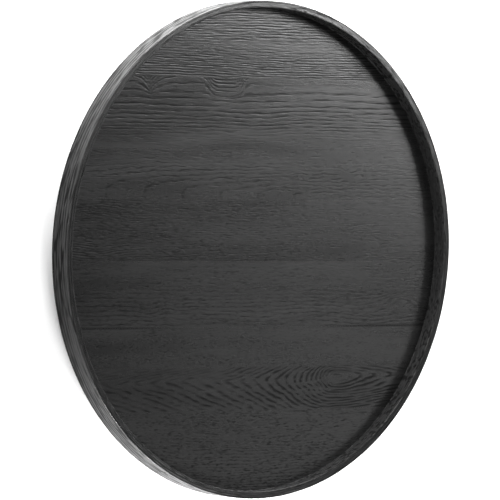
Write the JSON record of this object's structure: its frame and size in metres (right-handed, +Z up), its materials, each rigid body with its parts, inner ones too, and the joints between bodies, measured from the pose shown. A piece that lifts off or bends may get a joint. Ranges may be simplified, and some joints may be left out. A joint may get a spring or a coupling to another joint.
{
  "type": "round serving tray",
  "caption": "Round shallow serving tray with a thin bent-wood rim and a veneered wooden floor, stained black.",
  "frame": {"origin": "middle of the circle that the rim stands on", "axes": "+Z up, out of the open side of the tray; +X along the grain of the floor; +Y across the grain"},
  "size_m": [0.5, 0.5, 0.024],
  "materials": {
    "rim_wood": "black stained open-pore ash, satin lacquer",
    "face_wood": "black stained brushed ash veneer, satin lacquer",
    "back_wood": "black stained ash veneer, satin lacquer",
    "core_board": "raw fibreboard"
  },
  "bodies": {
    "root": {"rim_outer_ply": "rim_wood", "rim_middle_ply": "rim_wood", "rim_inner_ply": "rim_wood", "floor_core": "core_board", "face_veneer_1": "face_wood", "face_veneer_2": "face_wood", "face_veneer_3": "face_wood", "face_veneer_4": "face_wood", "face_veneer_5": "face_wood", "face_veneer_6": "face_wood", "face_veneer_7": "face_wood", "face_veneer_8": "face_wood", "back_veneer_1": "back_wood", "back_veneer_2": "back_wood", "back_veneer_3": "back_wood", "back_veneer_4": "back_wood", "back_veneer_5": "back_wood", "back_veneer_6": "back_wood"}
  },
  "joints": []
}
